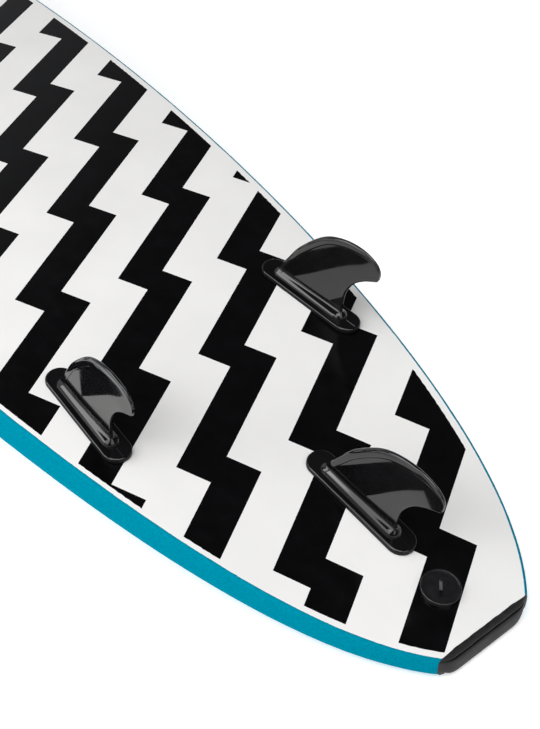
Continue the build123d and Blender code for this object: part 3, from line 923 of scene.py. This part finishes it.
FOOT = [                     # (share of the flare, share of the height), a broad bevel under the blade
    (1.03, 0.0), (1.0, 0.03), (0.99, 0.12), (0.96, 0.19), (0.9, 0.26), (0.77, 0.38), (0.62, 0.5),
    (0.47, 0.61), (0.33, 0.71), (0.23, 0.78), (0.15, 0.84), (0.08, 0.9), (0.03, 0.95),
]
FLANK_RINGS = 4              # rings of faces on the flange's side that stay matt
POST_ROOT, POST_CHAMFER, INSERT_SPARE = 0.5, 0.8, 1.0  # the insert's hole is that much deeper
MOULD_LINE = (-61.0, -75.5)  # along the middle of the flange's top, behind the blade
LINE_WIDTH, LINE_HEIGHT, LINE_DEPTH = 0.9, 0.3, 0.2
SECTION_TURNS, FACE_STEPS, TRAILING_TURNS = 7, 20, 3
FIN_SHARP_ANGLE = 28.0


def blade_section(length, u):
    """Half of the blade's section, as (distance from the leading edge, half thickness)."""
    half = mix(ROOT_HALF, TIP_HALF, u**THINNING)
    small = min(1.0, length / FULL_CHORD)
    nose, band, tail = NOSE_ROUND * small, LEADING_BAND * small, TRAILING_ROUND * small
    start, step = band + small, BAND_STEP * small
    rear = min(TRAILING_HALF, TRAILING_SHARE * half)
    turns = quarter_turn(SECTION_TURNS)
    points = [(nose * (1.0 - cosine), NOSE_SHARE * half * sine) for sine, cosine in turns]
    points += [(mix(nose, band, 0.5), BAND_SHARE * half), (band, half)]
    points.append((band + 0.5 * small, half - BAND_EASE * step))
    for k in range(FACE_STEPS + 1):
        q = 0.5 - 0.5 * math.cos(math.pi * k / FACE_STEPS)
        points.append((mix(start, length - tail, q), mix(half - step, rear, q**FACE_HOLLOW)))
    for sine, cosine in quarter_turn(TRAILING_TURNS)[1:-1]:
        points.append((length - tail + tail * sine, rear * cosine))
    return points + [(length, TRAILING_FLAT * rear), (length, 0.0)]


def stadium(share_along, length, width):
    """Half width of a slot shape at a share of its length."""
    radius = width / 2
    away = min(share_along, 1.0 - share_along) * length
    return radius if away >= radius else math.sqrt(max(radius**2 - (radius - away) ** 2, 0.0))


def whole_ring(half):
    """A closed ring from its front point, down one side and back up the other."""
    return half + [(x, -y, z) for x, y, z in half[-2:0:-1]]


def flange_ring(height, inset, shares):
    """The flange's outline at a height."""
    length, width = FLANGE_LENGTH - 2 * inset, FLANGE_WIDTH - 2 * inset
    return whole_ring([(length / 2 - t * length, stadium(t, length, width), height) for t in shares])


def foot_ring(flare, height, section, shares):
    """The blade's root, spread by flare towards a slot shape where it meets the flange."""
    front, rear = LEADING[0][0] + FLARE_ENDS * flare, TRAILING[0][0] - FLARE_ENDS * flare
    width = 2 * (ROOT_HALF + FLARE_SIDES * flare)
    blend = min(1.0, FLARE_BLEND * flare)
    half = []
    for t, (_, thick) in zip(shares, section):
        y = mix(thick, stadium(t, front - rear, width), blend)
        y += FLARE_SIDES * flare * min(1.0, thick / ROOT_HALF) * (1.0 - blend)
        half.append((mix(front, rear, t), y, height))
    return whole_ring(half)


def blade_rings():
    """Sections from the root to just short of the tip, each from the leading to the trailing edge."""
    rings = []
    lead, trail = curve_through(LEADING, BLADE_STEPS), curve_through(TRAILING, BLADE_STEPS)
    for k, (a, b) in enumerate(zip(lead[:-1], trail)):
        length = (b - a).length
        section = blade_section(length, k / BLADE_STEPS)
        line = [(a.lerp(b, along / length), thick) for along, thick in section]
        rings.append(whole_ring([(p.x, thick, p.y) for p, thick in line]))
    return rings


def flange_rings(shares):
    """The flange from its chamfered foot to the border inside its rounded top edge."""
    rings = [flange_ring(0.0, FLANGE_CHAMFER, shares), flange_ring(FLANGE_CHAMFER, 0.0, shares)]
    for sine, cosine in quarter_turn(EDGE_TURNS):
        height = FLANGE_HEIGHT - FLANGE_EDGE + FLANGE_EDGE * sine
        rings.append(flange_ring(height, FLANGE_EDGE * (1.0 - cosine), shares))
    return rings + [flange_ring(FLANGE_HEIGHT, FLANGE_EDGE + FLANGE_BORDER, shares)]


def post_profile():
    """A fin's post, with the hole for its threaded insert, as (radius, height)."""
    hole, top = INSERT_RADIUS + SEATED, INSERT_LENGTH + INSERT_SPARE - POST_LENGTH
    return [
        (0.0, POST_ROOT), (POST_RADIUS, POST_ROOT), (POST_RADIUS, POST_CHAMFER - POST_LENGTH),
        (POST_RADIUS - POST_CHAMFER, -POST_LENGTH), (hole, -POST_LENGTH), (hole, top), (0.0, top),
    ]


def fin_shape():
    """Points, faces and the look of each face of one moulding, in its own frame."""
    length = LEADING[0][0] - TRAILING[0][0]
    section = blade_section(length, 0.0)
    shares = [along / length for along, _ in section]
    rings = flange_rings(shares)
    for flare, t in FOOT:
        rings.append(foot_ring(flare, FLANGE_HEIGHT + FILLET_HEIGHT * t, section, shares))
    points, faces = loft(rings + blade_rings())
    for x in POSTS:
        post, walls = lathe(post_profile(), 32)
        add_shape(points, faces, [(p[0] + x, p[1], p[2]) for p in post], walls)
    ridge = [(0.5, -LINE_DEPTH), (0.1, LINE_HEIGHT), (-0.1, LINE_HEIGHT), (-0.5, -LINE_DEPTH)]
    line = [[(x, LINE_WIDTH * y, FLANGE_HEIGHT + z) for y, z in ridge] for x in MOULD_LINE]
    add_shape(points, faces, *loft(line))
    flank = FLANK_RINGS * len(rings[0])
    return points, faces, [1] * flank + [0] * (len(faces) - flank)


def make_fin(side):
    """One fin where it stands on the bottom."""
    points, faces, looks = fin_shape()
    place = seat(*FINS[side], lift=FIN_LIFT)
    materials = (FINISHES["fin_plastic"], FINISHES["fin_flank"])
    piece = make_object(f"{side}_fin_moulding", points, faces, materials, looks, place)
    finish_mesh(piece, FIN_SHARP_ANGLE)
    return piece


# ---- leash plug cap ----
CAP_RADIUS, CAP_TOP, CAP_RIM = 20.75, 4.0, 1.9
CAP_SKIRT = -0.9             # the cap's foot, down in the slick's dish
CAP_WALL, CAP_CHAMFER, SKIRT_SLOPE = 1.5, 0.3, 1.0  # of the skirt
SKIRT_HOLLOW, STEM_HOLLOW = 0.5, 0.8  # how far the cap is hollow beneath, at the skirt and at the stem
RIM_OUTER_ROUND, RIM_INNER_ROUND = 0.9, 0.5
CAP_RING, CAP_DOME = 2.2, 3.1  # height of the face at the rim and in the middle
RING_WIDTH, DOME_STEPS, DOME_REACH = 1.2, 16, 1.25  # flat from 1 / DOME_REACH of the way in
STEM_RADIUS, STEM_LENGTH, STEM_CHAMFER = 6.0, 13.0, 0.6
SLOT_LENGTH, SLOT_WIDTH, SLOT_TURN = 26.0, 3.2, -45.0
SLOT_FLOOR, SLOT_END = -2.4, 2.9  # height of the slot's floor in the middle and at its ends


def cap_profile():
    """Stem, skirt, rounded rim, sunk ring and domed face, as (radius, height)."""
    inner, foot = CAP_RADIUS - CAP_RIM, CAP_RADIUS - CAP_WALL
    profile = [
        (0.0, -STEM_LENGTH), (STEM_RADIUS - STEM_CHAMFER, -STEM_LENGTH),
        (STEM_RADIUS, STEM_CHAMFER - STEM_LENGTH), (STEM_RADIUS, CAP_SKIRT + STEM_HOLLOW),
        (foot - SKIRT_SLOPE, CAP_SKIRT + SKIRT_HOLLOW), (foot, CAP_SKIRT),
        (CAP_RADIUS - CAP_CHAMFER, CAP_SKIRT), (CAP_RADIUS, CAP_SKIRT + CAP_CHAMFER),
    ]
    r, turns = RIM_OUTER_ROUND, quarter_turn(6)
    profile += [(CAP_RADIUS - r + r * cosine, CAP_TOP - r + r * sine) for sine, cosine in turns]
    r = RIM_INNER_ROUND
    profile += [(inner + r - r * sine, CAP_TOP - r + r * cosine) for sine, cosine in turns]
    profile += [(inner, CAP_RING + 0.5), (inner - 0.2, CAP_RING + 0.1), (inner - 0.6, CAP_RING)]
    for k in range(DOME_STEPS):
        t = k / DOME_STEPS
        profile.append(((inner - RING_WIDTH) * (1.0 - t), mix(CAP_RING, CAP_DOME, ease(DOME_REACH * t))))
    return profile + [(0.0, CAP_DOME)]


def slot_cutter():
    """A prism that leaves a slot with a floor sloping down to the middle from both ends."""
    half, high = SLOT_LENGTH / 2, CAP_TOP + 1.0
    side = [(-half, SLOT_END), (0.0, SLOT_FLOOR), (half, SLOT_END), (half, high), (-half, high)]
    return loft([[(x, way * SLOT_WIDTH / 2, z) for x, z in side] for way in (-1.0, 1.0)])


def make_cap():
    """The slotted cap on the bottom."""
    place = seat(LEASH_X, LEASH_Y)
    piece = make_object("leash_cap", *lathe(cap_profile(), 96), (FINISHES["plug_plastic"],), place=place)
    finish_mesh(piece)
    cut(piece, *slot_cutter(), place @ Matrix.Rotation(math.radians(SLOT_TURN), 4, "Z"))
    finish_mesh(piece)
    return piece


# ---- assembly ----
def stand_in(piece, body, node):
    """Seat a new piece on its body, in place of a CAD node."""
    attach(piece, body)
    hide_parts(node)


def dress_cad_nodes():
    """Give every CAD node the finish of its slot."""
    slots = {part["node"]: part["material_slot"] for part in frame["record"]["subparts"]}
    for name, node in frame["nodes"].items():
        node.data.materials.clear()
        node.data.materials.append(FINISHES[slots[name]])


stand_in(make_slick(), "board", "slick_bottom")
stand_in(make_deck_skin(), "board", "deck_skin")
stand_in(make_bumper("tail_bumper_strip", True), "board", "tail_bumper")
stand_in(make_bumper("nose_bumper_strip", False), "board", "nose_bumper")
for fin_side in FINS:
    stand_in(make_fin(fin_side), f"{fin_side}_fin", f"{fin_side}_fin")
stand_in(make_cap(), "leash_plug_cap", "leash_plug_cap")
dress_cad_nodes()


# ---- floor, light and camera ----
# Here lengths are in metres.
CAMERA_PLACE = Vector((-1.65739, 0.6169, 1.04053))
CAMERA_TARGET = Vector((-0.80818, -0.06315, 0.06))
CAMERA_ROLL = math.radians(-0.93)
FOCAL_LENGTH = 62.14
FLOOR_HALF = 15.0
WHITE = (1.0, 1.0, 1.0, 1.0)
SKY_COLOUR = (0.95, 0.96, 1.0, 1.0)
BEYOND_NOSE = Vector((0.95, 0.0, 0.3)).normalized()
NOSE_GLOW = (0.8, 1.0, 0.05, 0.42)  # from closeness to that direction, low and high, to brightness
HORIZON_GLOW = (0.12, 0.3, 0.75, 0.0)  # from the direction's height, low and high, to brightness
LIGHTS = {                   # name: (place, aim, size, watts)
    "overhead": ((-1.3, 0.8, 3.3), (-0.8, 0.0, 0.0), (2.4, 2.2), 72.0),
    "key": ((-0.7, 3.2, 2.5), (-0.8, 0.0, 0.0), (2.8, 2.4), 62.0),
    "tail": ((-3.2, 0.2, 2.2), (-0.9, 0.0, 0.0), (2.0, 2.0), 24.0),
    "edge": ((0.72, 1.9, 1.25), (-0.85, 0.0, 0.0), (1.7, 1.2), 32.0),
}


def make_floor():
    """A wide pale floor."""
    finish = Finish("floor", 0.9)
    finish.colour(finish.noise(3.0), (0.3, 0.93, 0.93, 0.93), (0.7, 0.95, 0.95, 0.95))
    finish.set("Specular IOR Level", 0.1)
    finish.set("Emission Color", WHITE)
    finish.set("Emission Strength", 0.4)
    half = FLOOR_HALF / MM
    corners = [(-half, -half, 0.0), (half, -half, 0.0), (half, half, 0.0), (-half, half, 0.0)]
    floor = make_object("floor", corners, [(0, 1, 2, 3)], (finish.material,))


def softbox(name, place, aim, size, power):
    """A large soft light at place, facing aim."""
    light = bpy.data.lights.new(name, "AREA")
    light.shape, light.size, light.size_y, light.energy = "RECTANGLE", size[0], size[1], power
    lamp = put(name, light)
    lamp.location = place
    lamp.rotation_euler = (Vector(aim) - Vector(place)).to_track_quat("-Z", "Y").to_euler()


def make_world():
    """A dim studio with a pale horizon, brighter beyond the nose."""
    world = bpy.data.worlds.new("studio")
    world.use_nodes = True
    tree = world.node_tree
    place = add_node(tree, "TexCoord", {})["Generated"]
    toward = add_node(tree, "VectorMath", {0: place, 1: BEYOND_NOSE}, "DOT_PRODUCT")["Value"]
    nose_glow = map_range(tree, toward, *NOSE_GLOW)
    height = add_node(tree, "SeparateXYZ", {0: place})["Z"]
    horizon_glow = map_range(tree, height, *HORIZON_GLOW)
    brighter = add_node(tree, "Math", {0: nose_glow, 1: horizon_glow}, "MAXIMUM")["Value"]
    set_input(tree, tree.nodes["Background"], "Strength", brighter)
    set_input(tree, tree.nodes["Background"], "Color", SKY_COLOUR)
    bpy.context.scene.world = world


def make_camera():
    """The photograph's viewpoint, over the tail on the left."""
    camera = bpy.data.cameras.new("camera")
    camera.lens = FOCAL_LENGTH
    holder = put("camera", camera)
    aim = (CAMERA_TARGET - CAMERA_PLACE).to_track_quat("-Z", "Y").to_matrix().to_4x4()
    holder.matrix_world = Matrix.Translation(CAMERA_PLACE) @ aim @ Matrix.Rotation(CAMERA_ROLL, 4, "Z")
    bpy.context.scene.camera = holder


make_floor()
make_world()
make_camera()
for light_name, setup in LIGHTS.items():
    softbox(light_name, *setup)
bpy.context.scene.view_settings.view_transform = "Standard"
